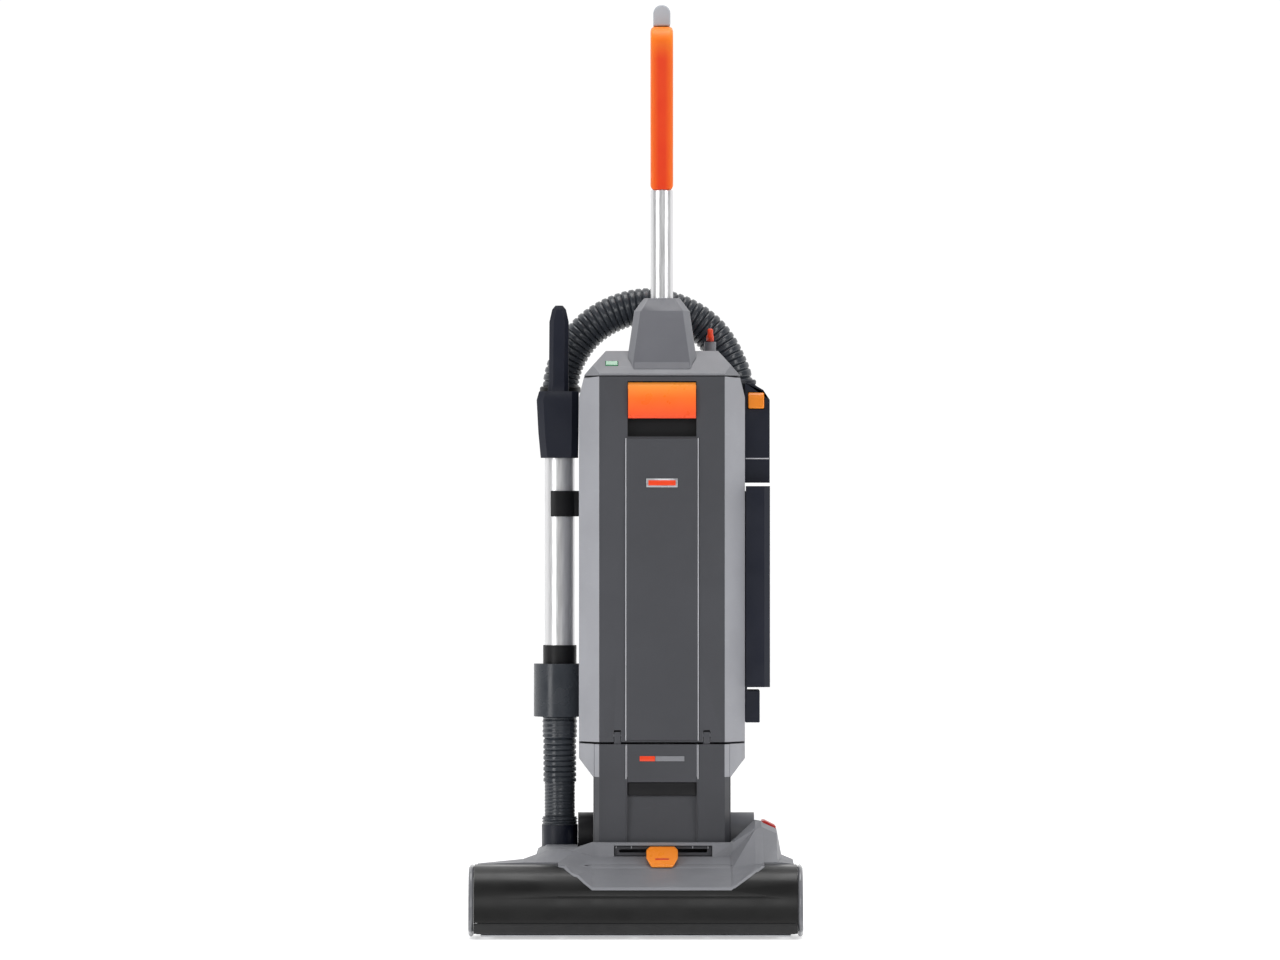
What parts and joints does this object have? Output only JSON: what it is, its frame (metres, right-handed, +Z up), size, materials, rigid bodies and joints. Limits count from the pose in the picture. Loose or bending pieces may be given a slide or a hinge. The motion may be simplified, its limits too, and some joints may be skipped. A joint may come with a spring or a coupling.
{
  "type": "upright vacuum cleaner",
  "caption": "Commercial upright vacuum cleaner with a wide brush nozzle, reclining bag column, side wand with hoses and a loop grip on a bright tube.",
  "frame": {"origin": "the middle of the footprint, on the floor under the nozzle", "axes": "+Z up, the front of the nozzle faces -Y, +X to the right seen from the front"},
  "size_m": [0.399, 0.34, 1.1273],
  "materials": {
    "charcoal_plastic": "fine moulded texture",
    "grey_plastic": "fine moulded texture",
    "light_grey_plastic": "fine moulded texture",
    "gloss_black_plastic": "polished",
    "navy_plastic": "satin",
    "black_plastic": "satin",
    "rubber": "matte",
    "hose_plastic": "satin ribbed",
    "orange_plastic": "smooth satin",
    "amber_plastic": "smooth satin",
    "red_plastic": "satin",
    "green_lens": "clear lens",
    "chrome_tube": "polished",
    "steel": "brushed",
    "switch_grey": "satin",
    "filter_paper": "pleated",
    "foam": "open cell",
    "bag_paper": "soft"
  },
  "bodies": {
    "nozzle": {"front_hood": "gloss_black_plastic", "nozzle_cover": "grey_plastic", "nozzle_base": "charcoal_plastic", "sole_plate": "steel", "end_cap_left": "light_grey_plastic", "end_cap_right": "light_grey_plastic", "bumper_strip": "rubber", "slider_track": "charcoal_plastic", "brush_bearing_left": "steel", "brush_bearing_right": "steel", "drive_belt": "rubber", "brush_motor": "steel", "rear_axle": "steel", "pivot_bracket_left": "black_plastic", "pivot_bracket_right": "charcoal_plastic", "pivot_pin_left": "steel", "pivot_pin_right": "steel", "pedal_spring": "steel", "hose_elbow": "navy_plastic"},
    "slider": {"height_slider": "amber_plastic"},
    "carriage": {"roller_carriage": "charcoal_plastic"},
    "roller_left": {"front_roller_left": "rubber"},
    "roller_right": {"front_roller_right": "rubber"},
    "wheel_left": {"rear_wheel_left": "rubber"},
    "wheel_right": {"rear_wheel_right": "rubber"},
    "brush": {"brush_roll": "black_plastic"},
    "pulley": {"motor_pulley": "steel"},
    "pedal": {"release_pedal": "red_plastic"},
    "column": {"top_cover": "grey_plastic", "indicator_lens": "green_lens", "rear_housing": "grey_plastic", "lower_housing": "charcoal_plastic", "motor_cover": "charcoal_plastic", "suction_motor": "steel", "motor_filter": "foam", "filter_bag": "bag_paper", "door_hinge_pin": "steel", "handle_neck": "grey_plastic", "handle_tube": "chrome_tube", "hand_grip": "orange_plastic", "hose_port": "navy_plastic", "filter_tray": "navy_plastic", "exhaust_filter": "filter_paper", "wand_socket": "hose_plastic", "wand_clip": "black_plastic", "cord_gland": "rubber", "upper_hose": "hose_plastic", "lower_hose": "hose_plastic"},
    "fan": {"motor_fan": "steel"},
    "door": {"door_shell": "light_grey_plastic", "door_panel": "charcoal_plastic", "door_seal": "rubber"},
    "latch": {"door_latch": "orange_plastic"},
    "switch": {"power_switch": "switch_grey"},
    "hose_release": {"hose_latch": "amber_plastic"},
    "filter_door": {"filter_cover": "navy_plastic"},
    "hook": {"cord_hook": "orange_plastic"},
    "wand": {"wand_tube": "chrome_tube", "wand_cuff": "black_plastic", "wand_handle": "navy_plastic"}
  },
  "joints": [
    {"name": "recline", "type": "hinge", "parent": "nozzle", "child": "column", "pos_m": [0.0317, 0.075, 0.112], "axis": [-1, 0, 0], "range_deg": [0, 72], "deforming": ["lower_hose"]},
    {"name": "height_slide", "type": "slide", "parent": "nozzle", "child": "slider", "axis": [1, 0, 0], "range_m": [-0.038, 0.038]},
    {"name": "carriage_tilt", "type": "hinge", "parent": "nozzle", "child": "carriage", "pos_m": [0, -0.074, 0.022], "axis": [1, 0, 0], "range_deg": [-12, 12]},
    {"name": "roller_left_spin", "type": "hinge", "parent": "carriage", "child": "roller_left", "pos_m": [-0.049, -0.056, 0.01], "axis": [1, 0, 0], "continuous": true},
    {"name": "roller_right_spin", "type": "hinge", "parent": "carriage", "child": "roller_right", "pos_m": [0.113, -0.056, 0.01], "axis": [1, 0, 0], "continuous": true},
    {"name": "wheel_left_spin", "type": "hinge", "parent": "nozzle", "child": "wheel_left", "pos_m": [-0.136, 0.112, 0.032], "axis": [1, 0, 0], "continuous": true},
    {"name": "wheel_right_spin", "type": "hinge", "parent": "nozzle", "child": "wheel_right", "pos_m": [0.186, 0.112, 0.032], "axis": [1, 0, 0], "continuous": true},
    {"name": "brush_spin", "type": "hinge", "parent": "nozzle", "child": "brush", "pos_m": [0, -0.12, 0.036], "axis": [1, 0, 0], "continuous": true},
    {"name": "pulley_spin", "type": "hinge", "parent": "nozzle", "child": "pulley", "pos_m": [0, -0.032, 0.05], "axis": [1, 0, 0], "continuous": true},
    {"name": "pedal_press", "type": "hinge", "parent": "nozzle", "child": "pedal", "pos_m": [0.1615, 0.07, 0.121], "axis": [1, 0, 0], "range_deg": [0, 8], "stiffness_Nm_per_rad": 1.2, "springref_deg": -2.86, "deforming": ["pedal_spring"]},
    {"name": "fan_spin", "type": "hinge", "parent": "column", "child": "fan", "pos_m": [0.0317, 0.075, 0.185], "axis": [0, 0, 1], "continuous": true},
    {"name": "door_swing", "type": "hinge", "parent": "column", "child": "door", "pos_m": [0.0317, -0.0095, 0.239], "axis": [1, 0, 0], "range_deg": [0, 75]},
    {"name": "latch_lift", "type": "hinge", "parent": "door", "child": "latch", "pos_m": [0.0317, -0.0105, 0.66], "axis": [-1, 0, 0], "range_deg": [0, 22], "stiffness_Nm_per_rad": 0.15, "springref_deg": -5.73},
    {"name": "switch_slide", "type": "slide", "parent": "column", "child": "switch", "axis": [0, 1, 0], "range_m": [0, 0.008]},
    {"name": "hose_release_press", "type": "slide", "parent": "column", "child": "hose_release", "axis": [0, 1, 0], "range_m": [0, 0.005], "stiffness_N_per_m": 300, "springref_m": -0.002},
    {"name": "filter_door_swing", "type": "hinge", "parent": "column", "child": "filter_door", "pos_m": [0.14, 0.101, 0.418], "axis": [0, 0, 1], "range_deg": [0, 100]},
    {"name": "hook_swivel", "type": "hinge", "parent": "column", "child": "hook", "pos_m": [0.0907, 0.09, 0.716], "axis": [0, 0, 1], "range_deg": [0, 90]},
    {"name": "wand_lift", "type": "slide", "parent": "column", "child": "wand", "axis": [0, 0, 1], "range_m": [0, 0.15], "deforming": ["upper_hose"]}
  ],
  "couplings": [
    {"joint": "carriage_tilt", "follows": "height_slide", "rad_per_m": 5.5},
    {"joint": "pulley_spin", "follows": "brush_spin", "ratio": 1.8889}
  ]
}
